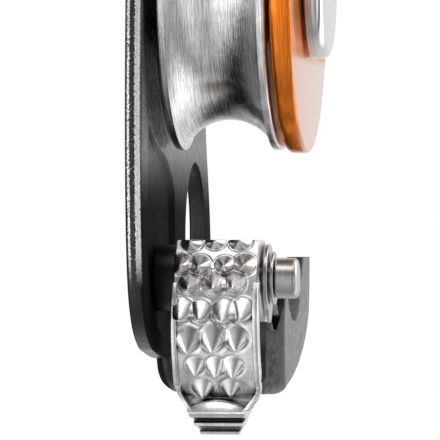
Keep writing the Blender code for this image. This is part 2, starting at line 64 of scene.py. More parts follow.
def finish(name, bm, look, location=AXLE, angle=35):
    bmesh.ops.recalc_face_normals(bm, faces=bm.faces)
    mesh = bpy.data.meshes.new(name)
    bm.to_mesh(mesh)
    bm.free()
    mesh.shade_smooth()
    mesh.set_sharp_from_angle(angle=math.radians(angle))
    if look:
        mesh.materials.append(look)
    obj = bpy.data.objects.new(name, mesh)
    obj.location = location
    bpy.context.scene.collection.objects.link(obj)
    return obj


def combine(obj, operation, bm, location=AXLE, angle=35):
    """Cut or add one solid and keep only the result."""
    other = finish("tool", bm, None, location)
    step = obj.modifiers.new("step", "BOOLEAN")
    step.operation = operation
    step.solver = "EXACT"
    step.object = other
    bpy.context.view_layer.update()
    ready = obj.evaluated_get(bpy.context.evaluated_depsgraph_get())
    mesh = bpy.data.meshes.new_from_object(ready)
    obj.modifiers.clear()
    old = obj.data
    obj.data = mesh
    mesh.name = obj.name
    bpy.data.meshes.remove(old)
    bpy.data.objects.remove(other, do_unlink=True)
    mesh.shade_smooth()
    mesh.set_sharp_from_angle(angle=math.radians(angle))


def deliver(obj, body, slot, *nodes):
    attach(obj, body)
    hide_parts(*nodes)
    return obj


def arc(y, z, radius, start, end, steps):
    return [(y + radius * math.cos(math.radians(start + (end - start) * i / steps)),
             z + radius * math.sin(math.radians(start + (end - start) * i / steps)))
            for i in range(steps + 1)]


def smooth(points, steps=8):
    """A Catmull-Rom curve through the points, ends included."""
    ends = [points[0]] + list(points) + [points[-1]]
    curve = []
    for a, b, c, d in zip(ends, ends[1:], ends[2:], ends[3:]):
        for i in range(steps):
            t = i / steps
            curve.append(tuple(
                0.5 * (2 * q + (r - p) * t + (2 * p - 5 * q + 4 * r - s) * t ** 2
                       + (3 * q - p - 3 * r + s) * t ** 3)
                for p, q, r, s in zip(a, b, c, d)))
    curve.append(points[-1])
    return curve


def scaled(points):
    return [(y * MM, z * MM) for y, z in points]


def inset(outline, amount):
    """The closed outline moved inwards by amount."""
    area = sum(a[0] * b[1] - b[0] * a[1] for a, b in zip(outline, outline[1:] + outline[:1]))
    turn = 1 if area > 0 else -1
    moved = []
    for before, here, after in zip(outline[-1:] + outline[:-1], outline, outline[1:] + outline[:1]):
        one = (Vector(here) - Vector(before)).normalized()
        two = (Vector(after) - Vector(here)).normalized()
        along = (one + two).normalized()
        grow = 1 / max(along.dot(one), 0.5)
        moved.append((here[0] - turn * along.y * amount * grow, here[1] + turn * along.x * amount * grow))
    return moved


def loft(stations):
    """A closed solid through (x, outline) stations that have the same number of points."""
    bm = bmesh.new()
    loops = [[bm.verts.new((x, y, z)) for y, z in outline] for x, outline in stations]
    for a, b in zip(loops, loops[1:]):
        for i in range(len(a)):
            k = (i + 1) % len(a)
            bm.faces.new((a[i], a[k], b[k], b[i]))
    bm.faces.new(loops[0])
    bm.faces.new(loops[-1])
    return bm


def slab(outline, x_low, x_high, edge=0.0, steps=4, other_edge=None):
    """A plate of the outline with rounded rims: edge at x_low, other_edge at x_high."""
    if not edge:
        return loft([(x_low, outline), (x_high, outline)])
    other_edge = other_edge or edge
    turns = [(1 - math.cos(a), 1 - math.sin(a))
             for a in (math.radians(90 * i / steps) for i in range(steps + 1))]
    low = [(x_low + edge * x, inset(outline, edge * amount)) for x, amount in turns]
    high = [(x_high - other_edge * x, inset(outline, other_edge * amount)) for x, amount in turns]
    return loft(low + high[::-1])


def turned(profile, steps=192):
    bm = bmesh.new()
    loops = []
    for i in range(steps):
        angle = math.tau * i / steps
        loops.append([bm.verts.new((x, r * math.cos(angle), r * math.sin(angle))) for x, r in profile])
    for a, b in zip(loops, loops[1:] + loops[:1]):
        for k in range(len(profile)):
            n = (k + 1) % len(profile)
            bm.faces.new((a[k], a[n], b[n], b[k]))
    bmesh.ops.remove_doubles(bm, verts=bm.verts, dist=0.0005 * MM)
    bmesh.ops.dissolve_degenerate(bm, edges=bm.edges, dist=0.0003 * MM)
    return bm


def rounded(profile, radius, steps=4):
    """The closed (x, radius) profile with each corner off the axis rounded."""
    result = []
    for before, here, after in zip(profile[-1:] + profile[:-1], profile, profile[1:] + profile[:1]):
        if here[1] < 0.01 * MM:
            result.append(here)
            continue
        a = Vector(before) - Vector(here)
        b = Vector(after) - Vector(here)
        cut = min(radius, a.length * 0.45, b.length * 0.45)
        start = Vector(here) + a.normalized() * cut
        end = Vector(here) + b.normalized() * cut
        for i in range(steps + 1):
            t = i / steps
            result.append(tuple((1 - t) ** 2 * start + 2 * t * (1 - t) * Vector(here) + t * t * end))
    return result


def prism(outline, y_low, y_high):
    """A solid of an XZ outline in mm, from y_low to y_high."""
    bm = bmesh.new()
    low = [bm.verts.new((x * MM, y_low, z * MM)) for x, z in outline]
    high = [bm.verts.new((x * MM, y_high, z * MM)) for x, z in outline]
    for i in range(len(outline)):
        k = (i + 1) % len(outline)
        bm.faces.new((low[i], low[k], high[k], high[i]))
    bm.faces.new(low)
    bm.faces.new(high)
    return bm


def rod(x_low, x_high, radius, centre=(0, 0), steps=96):
    return slab(arc(*centre, radius, 0, 360 * (steps - 1) / steps, steps - 1), x_low, x_high)


def hole(x_low, x_high, radius, centre=(0, 0), flare=0.3 * MM):
    """A bore that widens at both faces of a plate."""
    grow = [(x_low - MM, radius + flare + MM)]
    for i in range(5):
        a = math.radians(90 * i / 4)
        grow.append((x_low + flare * math.sin(a), radius + flare * (1 - math.sin(a))))
    middle = (x_low + x_high) / 2
    profile = [(x_low - MM, 0)] + grow
    profile += [(2 * middle - x, r) for x, r in reversed(grow)] + [(x_high + MM, 0)]
    bm = turned(profile, 128)
    bmesh.ops.translate(bm, verts=bm.verts, vec=(0, *centre))
    return bm


def bend(bm, shift):
    levels = 18
    for i in range(levels + 1):
        height = BEND[0] + (BEND[1] - BEND[0]) * i / levels
        everything = list(bm.verts) + list(bm.edges) + list(bm.faces)
        bmesh.ops.bisect_plane(bm, geom=everything, plane_co=(0, 0, height), plane_no=(0, 0, 1))
    for vert in bm.verts:
        t = min(max((vert.co.z - BEND[0]) / (BEND[1] - BEND[0]), 0), 1)
        vert.co.x += shift * t * t * (3 - 2 * t)


# ----------------------------------------------------------------- materials

class Look:
    """A Principled material and the nodes that feed it."""

    def __init__(self, name, **values):
        self.material = bpy.data.materials.new(name)
        self.material.use_nodes = True
        self.tree = self.material.node_tree
        self.shader = self.tree.nodes["Principled BSDF"]
        self.place = self.add("ShaderNodeTexCoord", {}).outputs["Object"]
        for key, value in values.items():
            self.give(key.replace("_", " ").title().replace("Ior", "IOR"), value)

    def give(self, socket, value):
        self.join(self.shader.inputs[socket], value)

    def join(self, socket, value):
        if isinstance(value, bpy.types.NodeSocket):
            self.tree.links.new(value, socket)
        else:
            socket.default_value = value

    def add(self, kind, inputs, **settings):
        made = self.tree.nodes.new(kind)
        for key, value in settings.items():
            setattr(made, key, value)
        for key, value in inputs.items():
            self.join(made.inputs[key], value)
        return made

    def math(self, operation, a, b=0.0, c=0.0):
        return self.add("ShaderNodeMath", {0: a, 1: b, 2: c}, operation=operation).outputs[0]

    def parts(self, vector):
        return self.add("ShaderNodeSeparateXYZ", {0: vector}).outputs

    def vector(self, x, y, z):
        return self.add("ShaderNodeCombineXYZ", {0: x, 1: y, 2: z}).outputs[0]

    def noise(self, scale, where=None, detail=2.0, rough=0.5):
        where = self.place if where is None else where
        inputs = {"Vector": where, "Scale": scale, "Detail": detail, "Roughness": rough}
        return self.add("ShaderNodeTexNoise", inputs).outputs[0]

    def stretch(self, value, low, high, new_low=0.0, new_high=1.0, kind="SMOOTHSTEP"):
        inputs = {"Value": value, "From Min": low, "From Max": high, "To Min": new_low, "To Max": new_high}
        return self.add("ShaderNodeMapRange", inputs, interpolation_type=kind).outputs[0]

    def mix(self, factor, a, b):
        made = self.add("ShaderNodeMix", {}, data_type="RGBA")
        for index, value in ((0, factor), (6, a), (7, b)):
            self.join(made.inputs[index], value)
        return made.outputs[2]

    def bump(self, height, distance, strength=1.0, normal=None):
        inputs = {"Height": height, "Distance": distance, "Strength": strength}
        made = self.add("ShaderNodeBump", inputs)
        if normal is not None:
            self.join(made.inputs["Normal"], normal)
        self.give("Normal", made.outputs[0])
        return made.outputs[0]

    def soft_edges(self, radius):
        return self.add("ShaderNodeBevel", {"Radius": radius}, samples=6).outputs[0]

    def around_axis(self):
        """(x, radius, small share of the angle): noise on it runs in turned lines."""
        x, y, z = self.parts(self.place)
        radius = self.math("SQRT", self.math("ADD", self.math("MULTIPLY", y, y), self.math("MULTIPLY", z, z)))
        return x, radius, self.math("ARCTAN2", z, y)


def grey(value):
    return (value, value, value, 1)


# Where the two bands of painted glints, bright metal spots that stand in for highlights, run on the wall's cut
# rim, along X
INNER_PAINTED_GLINT = -9.15 * MM
OUTER_PAINTED_GLINT = -10.4 * MM


def black_look():
    """Black coating: grainy on the cut rims and smoother on the faces.

    Painted highlight: bright metal spots in two bands, one along each edge, stand in for glints on the rim.
    Painted light: the ear's near edge is a lighter grey. Painted shade: the pocket and the inner face
    beside the cam have less gloss, so they look darker.
    """
    look = Look("black_coating", roughness=0.3, ior=1.6)
    normal = look.add("ShaderNodeVectorTransform", {
        0: look.add("ShaderNodeNewGeometry", {}).outputs["Normal"]},
        vector_type="NORMAL", convert_from="WORLD", convert_to="OBJECT").outputs[0]
    facing = look.math("ABSOLUTE", look.parts(normal)[0])
    x, y, z = look.parts(look.place)
    rim = look.math("MULTIPLY", look.stretch(facing, 0.55, 0.8, 1, 0), look.stretch(z, -0.042, -0.036))
    rim = look.math("MULTIPLY", rim, look.stretch(y, -22.5 * MM, -20.5 * MM, 1, 0))
    from_inner = look.math("ABSOLUTE", look.math("SUBTRACT", x, INNER_PAINTED_GLINT))
    inner_band = look.stretch(from_inner, 0.2 * MM, 0.6 * MM, 1, 0)
    from_outer = look.math("ABSOLUTE", look.math("SUBTRACT", x, OUTER_PAINTED_GLINT))
    outer_band = look.stretch(from_outer, 0.06 * MM, 0.25 * MM, 0.85, 0)
    bands = look.math("MAXIMUM", inner_band, outer_band)
    grain = look.noise(3800, detail=2, rough=0.6)
    # Painted highlight: in the rim's bands a near-white metallic base colour stands in for the glints
    painted_glint = look.stretch(look.math("MULTIPLY_ADD", bands, 0.38, grain), 0.62, 0.8)
    painted_glint = look.math("MULTIPLY", painted_glint, rim)
    look.give("Metallic", look.math("MULTIPLY", painted_glint, 0.9))
    # Painted light: a lighter grey base colour on the ear's near edge stands in for the light it catches
    edge = look.math("MULTIPLY", look.stretch(x, 2.9 * MM, 3.5 * MM), look.stretch(z, -0.04, -0.037, 1, 0))
    edge = look.math("MULTIPLY", edge, look.stretch(facing, 0.6, 0.9, 1, 0))
    edge = look.math("MULTIPLY", edge, look.stretch(look.noise(1100, detail=3), 0.3, 0.6, 0.5, 1))
    coat = look.mix(edge, (0.008, 0.008, 0.009, 1), (0.13, 0.13, 0.13, 1))
    look.give("Base Color", look.mix(painted_glint, coat, (0.97, 0.97, 0.98, 1)))
    # Painted shade: lower specular level and higher roughness darken the pocket and the inner face beside the cam
    pocket_shade = look.math("MULTIPLY", look.stretch(x, -9.1 * MM, -8.8 * MM, 1, 0),
                     look.stretch(facing, 0.7, 0.9))
    inside = look.math("MULTIPLY", look.stretch(x, -8.5 * MM, -8.1 * MM, 1, 0),
                       look.stretch(facing, 0.25, 0.45))
    painted_shade = look.math("MULTIPLY", look.stretch(z, -0.032, -0.022, 1, 0), inside)
    level = look.math("MULTIPLY_ADD", look.math("MAXIMUM", pocket_shade, painted_shade), -0.32, 0.42)
    look.give("Specular IOR Level", look.math("MULTIPLY_ADD", painted_shade, -0.07, level))
    pits = look.stretch(look.noise(1500, detail=2), 0.33, 0.42)
    fine = look.noise(2600, detail=4, rough=0.6)
    soft = look.soft_edges(0.35 * MM)
    first = look.bump(grain, 0.0001, look.stretch(rim, 0, 1, 0.02, 0.9, "LINEAR"), soft)
    second = look.bump(pits, 0.00003, 0.5, first)
    look.bump(fine, 0.00003, 0.5, second)
    rough = look.stretch(look.noise(900), 0.3, 0.7, 0.2, 0.32, "LINEAR")
    look.give("Roughness", look.math("MULTIPLY_ADD", painted_shade, 0.6, rough))
    return look.material


def alloy_look():
    """Bare alloy, turned: fine rings around the axis."""
    look = Look("turned_alloy", base_color=(0.9, 0.9, 0.91, 1), metallic=1.0, roughness=0.16)
    x, radius, _ = look.around_axis()
    _, y, z = look.parts(look.place)
    where = look.vector(x, look.math("MULTIPLY_ADD", y, 0.03, radius), look.math("MULTIPLY", z, 0.03))
    lines = look.noise(7000, where, detail=4, rough=0.7)
    broad = look.noise(1300, where, detail=2)
    patches = look.noise(260, detail=3, rough=0.6)
    tone = look.stretch(look.math("MULTIPLY_ADD", patches, 0.3, lines), 0.48, 0.82)
    look.give("Base Color", look.mix(tone, (0.58, 0.58, 0.59, 1), (1, 1, 1, 1)))
    look.give("Roughness", look.stretch(patches, 0.35, 0.7, 0.12, 0.24, "LINEAR"))
    first = look.bump(lines, 0.00004, 1.0)
    second = look.bump(broad, 0.00005, 0.6, first)
    look.bump(patches, 0.00012, 0.5, second)
    return look.material


def orange_look():
    """Orange anodised alloy, clear-coated, with streaks along the rims.

    Painted reflection: the gloss is whiter on the outer rim above and below the axle's button than beside
    it, where its orange tint stands in for the button's reflection.
    """
    look = Look("orange_anodised", metallic=0.8, roughness=0.2, coat_roughness=0.06)
    x, y, z = look.parts(look.place)
    streaks = look.noise(1, look.vector(look.math("MULTIPLY", x, 7000), look.math("MULTIPLY", y, 500),
                                        look.math("MULTIPLY", z, 240)), detail=3)
    cloud = look.noise(180, detail=3)
    tone = look.stretch(look.math("MULTIPLY_ADD", cloud, 0.25, streaks), 0.4, 0.85)
    look.give("Base Color", look.mix(tone, (0.72, 0.15, 0.005, 1), (0.93, 0.245, 0.014, 1)))
    # Painted reflection: beside the button the orange specular tint stands in for the button's reflection; above
    # and below it the gloss is whiter
    beyond = look.stretch(look.math("ABSOLUTE", z), 9.6 * MM, 11.4 * MM)
    beyond = look.math("MULTIPLY", beyond, look.stretch(x, 10.3 * MM, 10.9 * MM))
    look.give("Specular Tint", look.mix(beyond, (1.0, 0.6, 0.3, 1), (1, 1, 1, 1)))
    look.give("Coat Weight", look.math("MULTIPLY_ADD", beyond, 0.7, 0.3))
    soft = look.soft_edges(0.3 * MM)
    first = look.bump(streaks, 0.00005, 0.7, soft)
    look.bump(look.noise(3500), 0.00001, 0.5, first)
    return look.material


def cast_look():
    """Cast stainless steel, tumbled: soft mottling, small dents and painted shade in the crevices."""
    look = Look("cast_stainless", metallic=1.0)
    cloud = look.noise(420, detail=4, rough=0.6)
    tint = look.mix(look.stretch(cloud, 0.35, 0.65), (0.66, 0.65, 0.64, 1), (0.88, 0.87, 0.86, 1))
    # Painted shade: ambient occlusion darkens the base colour towards near black in crevices and between the teeth
    crevice_shade = look.add("ShaderNodeAmbientOcclusion", {"Distance": 1.3 * MM}, samples=8).outputs["AO"]
    look.give("Base Color", look.mix(look.stretch(crevice_shade, 0.3, 0.8), (0.07, 0.07, 0.07, 1), tint))
    look.give("Roughness", look.stretch(cloud, 0.3, 0.7, 0.34, 0.23, "LINEAR"))
    soft = look.soft_edges(0.2 * MM)
    first = look.bump(look.noise(1400, detail=3), 0.00005, 0.5, soft)
    look.bump(look.noise(6000, detail=2), 0.000012, 0.5, first)
    return look.material


def steel_look(name, tint, roughness, lines=0.3):
    look = Look(name, base_color=tint, metallic=1.0, roughness=roughness)
    x, radius, angle = look.around_axis()
    where = look.vector(x, radius, look.math("MULTIPLY", look.math("COSINE", angle), 0.0006))
    first = look.bump(look.noise(7000, where, detail=3), 0.00002, lines)
    look.bump(look.noise(2500, detail=3), 0.00001, 0.3, first)
    return look.material


def plain_look(name, tint, roughness, metallic=0.0):
    look = Look(name, base_color=tint, metallic=metallic, roughness=roughness)
    look.bump(look.noise(4000, detail=2), 0.00001, 0.4, look.soft_edges(0.15 * MM))
    return look.material


LOOKS = {
    "black_body": black_look(),
    "orange_anodised": orange_look(),
    "turned_alloy": alloy_look(),
    "cast_stainless": cast_look(),
    "stainless": steel_look("stainless", (0.52, 0.51, 0.5, 1), 0.27, 0.9),
    "polished_steel": steel_look("polished_steel", (0.78, 0.78, 0.79, 1), 0.1),
    "bearing_steel": steel_look("bearing_steel", (0.72, 0.72, 0.74, 1), 0.12),
    "spring_steel": plain_look("spring_steel", (0.5, 0.5, 0.52, 1), 0.25, 1.0),
    "bronze": plain_look("bronze", (0.72, 0.45, 0.2, 1), 0.3, 1.0),
    "seal_rubber": plain_look("seal_rubber", (0.02, 0.02, 0.02, 1), 0.55),
    "red_anodised": plain_look("red_anodised", (0.55, 0.02, 0.015, 1), 0.25, 1.0),
}


# ---------------------------------------------------------------- fixed body

def wall_outline():
    lobe = arc(0, LIFT, 16.5 * MM, 0, 180, 64)
    front = smooth([(-16.5, 56), (-16.8, 42), (-18.6, 30), (-22.8, 16), (-26.2, 0),
                    (-27.2, -17), (-26.6, -31), (-24.8, -41), (-21, -46.8), (-15, -49.9),
                    (-8.5, -51), (-2, -51.7), (6, -52)])
    back = smooth([(46.5, -42), (45, -32), (40.5, -20), (37, -6), (30, 12), (22, 28),
                   (17.5, 42), (16.5, 56)])
    return lobe + scaled(front[1:]) + scaled(back[:-1])


def end_outline(amount):
    """The folded end from the side: 0 outside, the floor's thickness inside."""
    curve = smooth([(0, -46), (0, -53), (4, -56.8), (14, -57.2), (25, -56.4), (35.5, -53.8),
                    (42, -50.2), (45.6, -45.5), (46.5, -38)])
    centre = Vector((24 * MM, -40 * MM))
    points = []
    for y, z in scaled(curve):
        offset = Vector((y, z)) - centre
        points.append(tuple(centre + offset * (1 - amount / offset.length)))
    return points


def folded_end():
    """The floor, the ear and the web behind the becket, with rounded folds."""
    ear = 5.9 * MM
    turns = [(1 - math.cos(a), 1 - math.sin(a)) for a in (math.radians(90 * i / 14) for i in range(15))]
    wide = 4.5 * MM
    tight = 2 * MM
    stations = [(WALL[0] + wide * x, wide * amount) for x, amount in turns]
    stations += [(ear - tight * x, tight * amount) for x, amount in reversed(turns)]
    loops = []
    for x, amount in stations:
        outline = []
        for (y, z), (y_in, z_in) in zip(end_outline(0), end_outline(amount)):
            t = min(max((-46 * MM - z) / (7 * MM), 0), 1)
            y += (y_in - y) * t
            z += (z_in - z) * t
            y += min(max((20 * MM - y) / (20 * MM), 0), 1) * 0.85 * (x - WALL[0])
            outline.append((y, z))
        loops.append((x, outline + scaled([(16, -38), (15.5, -44)])))
    end = finish("end", loft(loops), None)
    inside = [point for point in end_outline(2.8 * MM) if point[1] < -44 * MM and point[0] > 3 * MM]
    channel = [(-30 * MM, end_outline(2.8 * MM)[0][1])] + scaled([(-30, -52.5)]) + inside
    channel += scaled([(44.2, -40), (60, -40), (60, -20), (-30, -20)])
    combine(end, "DIFFERENCE", slab(channel, WALL[1], ear - 2.4 * MM))
    bm = bmesh.new()
    bm.from_mesh(end.data)
    bpy.data.objects.remove(end, do_unlink=True)
    return bm


def pocket_outline():
    """The shallow recess in the inner face, around the lower half of the sheave."""
    upper = smooth([(-19.6, -19), (-15.6, -20.8), (-12, -21.9), (-2.4, -24), (3, -26.4), (6, -28.5)], 6)
    lower = smooth([(6, -28.5), (6.6, -38), (6, -46), (-2, -48.3), (-10, -47.6), (-18, -43.6),
                    (-21, -36), (-20.8, -25), (-19.6, -19)], 6)
    return scaled(upper[:-1] + lower[:-1])


def pocket():
    """The recess's cutter; its sides slope."""
    outline = pocket_outline()
    centre = Vector((-8 * MM, -36 * MM))
    floor_line = []
    for point in outline:
        offset = Vector(point) - centre
        floor_line.append(tuple(centre + offset * (1 - 0.9 * MM / offset.length)))
    return loft([(WALL[1] - 0.8 * MM, floor_line), (WALL[1], outline), (0, outline)])


def body():
    bm = slab(wall_outline(), *WALL, 0.35 * MM, 6, 0.75 * MM)
    bend(bm, 8.4 * MM)
    obj = finish("body_look", bm, LOOKS["black_body"])
    combine(obj, "UNION", folded_end())
    combine(obj, "DIFFERENCE", pocket())
    combine(obj, "DIFFERENCE", hole(WALL[0], 5.9 * MM, 10.7 * MM, (28 * MM, -35 * MM)))
    combine(obj, "DIFFERENCE", hole(WALL[0] + 8.4 * MM, WALL[1] + 8.4 * MM, 9 * MM, (0, LIFT)))
    combine(obj, "DIFFERENCE", rod(-20 * MM, 0, 6.3 * MM))
    combine(obj, "DIFFERENCE", rod(-20 * MM, 0, 2.5 * MM), CAM_PIN)
    combine(obj, "DIFFERENCE", rod(-20 * MM, 20 * MM, 2.5 * MM), STUD)
    combine(obj, "DIFFERENCE", rod(2 * MM, 10 * MM, 10.7 * MM, (26.5 * MM, -36.4 * MM)))
    slot = [(4.3, -40), (4.2, -46.8), (4.5, -48.2), (4.85, -48.0), (5.3, -46.6), (5.6, -44.5), (5.7, -40)]
    combine(obj, "DIFFERENCE", prism(slot, 10 * MM, 22 * MM))
    deliver(obj, "frame", "black_body", "body")


# ------------------------------------------------------------- swinging plate

def side_plate():
    lobe = arc(0, LIFT, 16.5 * MM, 0, 180, 64)
    front = smooth([(-16.5, 56), (-16.8, 42), (-18.2, 32), (-20.4, 19), (-22.3, 6.8)])[:-1]
    back = [(-y, z) for y, z in reversed(front)]
    foot = arc(0, 0, 23.3 * MM, 163, 377, 160)
    outline = lobe + scaled(front[1:]) + foot + scaled(back[:-1])
    bm = slab(outline, PLATE[0] - 0.35 * MM, PLATE[1], 1.15 * MM, 8, 0.45 * MM)
    bend(bm, -8.1 * MM)
    obj = finish("side_plate_look", bm, LOOKS["orange_anodised"])
    combine(obj, "DIFFERENCE", hole(PLATE[0] - 8.1 * MM, PLATE[1] - 8.1 * MM, 9 * MM, (0, LIFT)))
    combine(obj, "DIFFERENCE", rod(0, 20 * MM, 7.8 * MM))
    combine(obj, "DIFFERENCE", rod(-20 * MM, 20 * MM, 1.9 * MM), CATCH)
    combine(obj, "DIFFERENCE", notch())
    deliver(obj, "swing_plate", "orange_anodised", "side_plate")


def notch():
    """The stud's way out of the plate, an arc about the axle."""
    spot = STUD - AXLE
    reach = math.hypot(spot.y, spot.z)
    angle = math.degrees(math.atan2(spot.z, spot.y))
    half = 2.7 * MM
    outer = arc(0, 0, reach + half, angle, angle + 16, 16)
    inner = arc(0, 0, reach - half, angle + 16, angle, 16)
    tip = arc(spot.y, spot.z, half, angle - 180, angle, 32)
    return slab(outer + inner + tip[1:-1], -20 * MM, 20 * MM)


def catch():
    across = STUD.y - CATCH.y
    top = smooth([(5, 0), (3.6, 3.5), (0, 4.4), (-5, 3.6), (-11, 2.6), (-17, 3.4), (-22, 4.4),
                  (-26.5, 5.5), (-29, 3.5)])
    under = smooth([(-29, 3.5), (-28.4, -2), (-25, -4.4), (-21, -4.4), (-15, -2.6), (-9, -2.6),
                    (-4, -3.8), (0, -4.4), (3.6, -3.5), (5, 0)])
    bm = slab(scaled(top[:-1] + under[:-1]), 4.8 * MM, 7 * MM, 0.5 * MM, 5)
    for vert in bm.verts:
        beyond = across - 5 * MM - vert.co.y
        if beyond > 0:
            vert.co.x -= beyond * 0.35
    obj = finish("catch_lever_look", bm, LOOKS["red_anodised"], CATCH)
    combine(obj, "DIFFERENCE", rod(0, 20 * MM, 1.9 * MM), CATCH)
    deliver(obj, "catch", "red_anodised", "catch_lever")

    x = 7.3 * MM
    profile = [(0.5 * MM, 0), (0.5 * MM, 1.6 * MM), (x, 1.6 * MM), (x, 3.2 * MM), (7.9 * MM, 3.2 * MM),
               (8.3 * MM, 2.5 * MM), (8.3 * MM, 0)]
    obj = finish("catch_pin_look", turned(rounded(profile, 0.3 * MM)), LOOKS["polished_steel"], CATCH)
    deliver(obj, "swing_plate", "polished_steel", "catch_pin")

    face = WALL[0] + 8.4 * MM
    gap = 0.3 * MM
    profile = [(face - 1.3 * MM, 0), (face - 1.3 * MM, 3.2 * MM), (face - gap, 4 * MM),
               (face - gap, 2.2 * MM), (3.2 * MM, 2.2 * MM), (3.2 * MM, 4 * MM), (3.9 * MM, 4 * MM),
               (4.4 * MM, 3.2 * MM), (4.4 * MM, 0)]
    obj = finish("locking_stud_look", turned(rounded(profile, 0.3 * MM)), LOOKS["polished_steel"], STUD)
    deliver(obj, "frame", "polished_steel", "locking_stud")


def coil(x_low, x_high, radius, wire, turns):
    """Round wire wound about an axis along X."""
    bm = bmesh.new()
    per_turn = 64
    count = int(turns * per_turn)
    sides = 16
    rings = []
    for i in range(count + 1):
        angle = math.tau * i / per_turn
        x = x_low + wire + (x_high - x_low - 2 * wire) * i / count
        out = Vector((0, math.cos(angle), math.sin(angle)))
        loop = []
        for k in range(sides):
            around = math.tau * k / sides
            point = out * (radius + wire * math.cos(around))
            loop.append(bm.verts.new((x + wire * math.sin(around), point.y, point.z)))
        rings.append(loop)
    for a, b in zip(rings, rings[1:]):
        for k in range(sides):
            bm.faces.new((a[k], a[(k + 1) % sides], b[(k + 1) % sides], b[k]))
    bm.faces.new(rings[0])
    bm.faces.new(rings[-1])
    return bm


# ----------------------------------------------------------------- sheave set

def sheave():
    half = 7.5 * MM
    outer = 22.9 * MM
    groove_radius = 7.2 * MM
    centre = 18.7 * MM + groove_radius
    crest = 65
    groove = []
    for i in range(49):
        angle = math.radians(-crest + 2 * crest * i / 48)
        groove.append((groove_radius * math.sin(angle), centre - groove_radius * math.cos(angle)))
    side = [(half - 0.3 * MM, outer), (half, outer - 0.5 * MM), (half, 17.5 * MM),
            (half - 0.8 * MM, 16.7 * MM), (half - 0.8 * MM, 12.3 * MM)]
    other = [(-x, radius) for x, radius in reversed(side)]
    profile = rounded(groove[-1:] + side + other + groove[:1], 0.25 * MM)
    obj = finish("sheave_look", turned(groove[1:-1] + profile, 320), LOOKS["turned_alloy"])
    deliver(obj, "wheel", "turned_alloy", "sheave")


def axle():
    head = WALL[0] - 0.3 * MM
    radius = 6 * MM
    profile = [(head - 1.5 * MM, 0), (head - 1.5 * MM, 8 * MM), (head - 0.9 * MM, 9 * MM),
               (head, 9 * MM), (head, radius), (11.3 * MM, radius), (11.3 * MM, 0)]
    obj = finish("axle_look", turned(rounded(profile, 0.3 * MM)), LOOKS["polished_steel"])
    deliver(obj, "frame", "polished_steel", "axle")

    base = PLATE[1] + 0.3 * MM
    r = 10.3 * MM
    round_off = 1.2 * MM
    rings = []
    for middle in (0.55, 0.95):
        x = base + middle * MM
        rings += [(x - 0.12 * MM, r), (x - 0.05 * MM, r - 0.14 * MM), (x + 0.05 * MM, r - 0.14 * MM),
                  (x + 0.12 * MM, r)]
    rim = [(BUTTON_FACE - round_off + round_off * math.sin(math.radians(a)),
            r - round_off + round_off * math.cos(math.radians(a))) for a in range(0, 91, 6)]
    profile = [(base + 0.8 * MM, 0), (base + 0.8 * MM, radius + 0.3 * MM), (base, radius + 0.3 * MM),
               (base, r - 0.2 * MM), (base + 0.2 * MM, r)] + rings + rim + [(BUTTON_FACE, 0)]
    obj = finish("axle_button_look", turned(profile, 256), LOOKS["polished_steel"])
    deliver(obj, "frame", "polished_steel", "axle_button")


def ring(name, look, body_name, centre, x_low, x_high, inner, outer):
    profile = [(x_low, inner), (x_high, inner), (x_high, outer), (x_low, outer)]
    profile = [(x * MM, r * MM) for x, r in profile]
    bm = turned(rounded(profile, 0.15 * MM), 128)
    deliver(finish(name + "_look", bm, LOOKS[look], centre), body_name, look, name)


# -------------------------------------------------------------------- cam set

TOOTH_RADIUS = 1.55 * MM
TOOTH_HEIGHT = 1.5 * MM
FACE_END = 1.06
LEDGE = -18.0 * MM
FACE_FOOT = -16.1
# Each row's height from the cam's pin, size and lean, and where its teeth stand across the face
TOOTH_ROWS = [(4.9, 0.9, 0.7, (-3.6, -0.3, 3.1)), (2.1, 0.92, 0.75, (-4.7, -2.2, 1.2, 4.0)),
              (-0.7, 1.0, 0.85, (-3.5, -0.1, 2.6)), (-4.3, 1.05, 0.95, (-4.6, -1.9, 1.3, 3.8)),
              (-8.3, 1.1, 1.05, (-3.7, -0.2, 3.0)), (-11.8, 0.88, 0.95, (-2.8, 0, 2.3)),
              (-14.9, 0.86, 0.85, (-2.0, 1.8))]


def face_point(t):
    """Side view of the toothed face: a spiral about the pin that grows towards the tab."""
    angle = math.radians(132 - 107 * t)
    radius = (7.9 + 8 * t ** 2) * MM
    return Vector((-radius * math.sin(angle), -radius * math.cos(angle)))


def face_at(height):
    t = 0.5
    for _ in range(40):
        t += (face_point(t).y - height) * 30
    return t


def tooth_list():
    teeth = []
    for row, (height, row_size, row_lean, places) in enumerate(TOOTH_ROWS):
        t = face_at(height * MM)
        along = (face_point(t + 0.01) - face_point(t - 0.01)).normalized()
        out = Vector((along.y, -along.x))
        lean = out + along * row_lean
        for k, x in enumerate(places):
            shift = 0.22 * MM * math.sin(3.1 * row + 5.3 * k)
            size = row_size * (1 + 0.07 * math.sin(2.3 * row + 4.1 * k))
            teeth.append((x * MM, face_point(t) + along * shift, along, lean, size))
    return teeth


def tooth_height(distance):
    """Height of a cone with a worn tip, a soft foot and a faint ring around it."""
    share = distance / TOOTH_RADIUS
    cone = max(1 - math.sqrt(share ** 2 + 0.012), 0)
    foot = 0.07 * math.exp(-((share - 1.12) / 0.12) ** 2)
    return TOOTH_HEIGHT * (cone - foot)


def face_stations(x_stations, steps):
    """The toothed face across X: each station's points, pushed out where a tooth stands."""
    teeth = tooth_list()
    base = [face_point(FACE_END * i / steps) for i in range(steps + 1)]
    stations = []
    for x in x_stations:
        near = [tooth for tooth in teeth if abs(tooth[0] - x) < 1.5 * TOOTH_RADIUS]
        line = []
        for point in base:
            moved = point.copy()
            for x_tooth, spot, along, lean, size in near:
                away = (point - spot).dot(along)
                distance = math.hypot(away, x - x_tooth) / size
                if distance < 1.5 * TOOTH_RADIUS and (point - spot).length < 3 * TOOTH_RADIUS:
                    moved += lean * size * tooth_height(distance)
            line.append(tuple(moved))
        stations.append(line)
    return stations


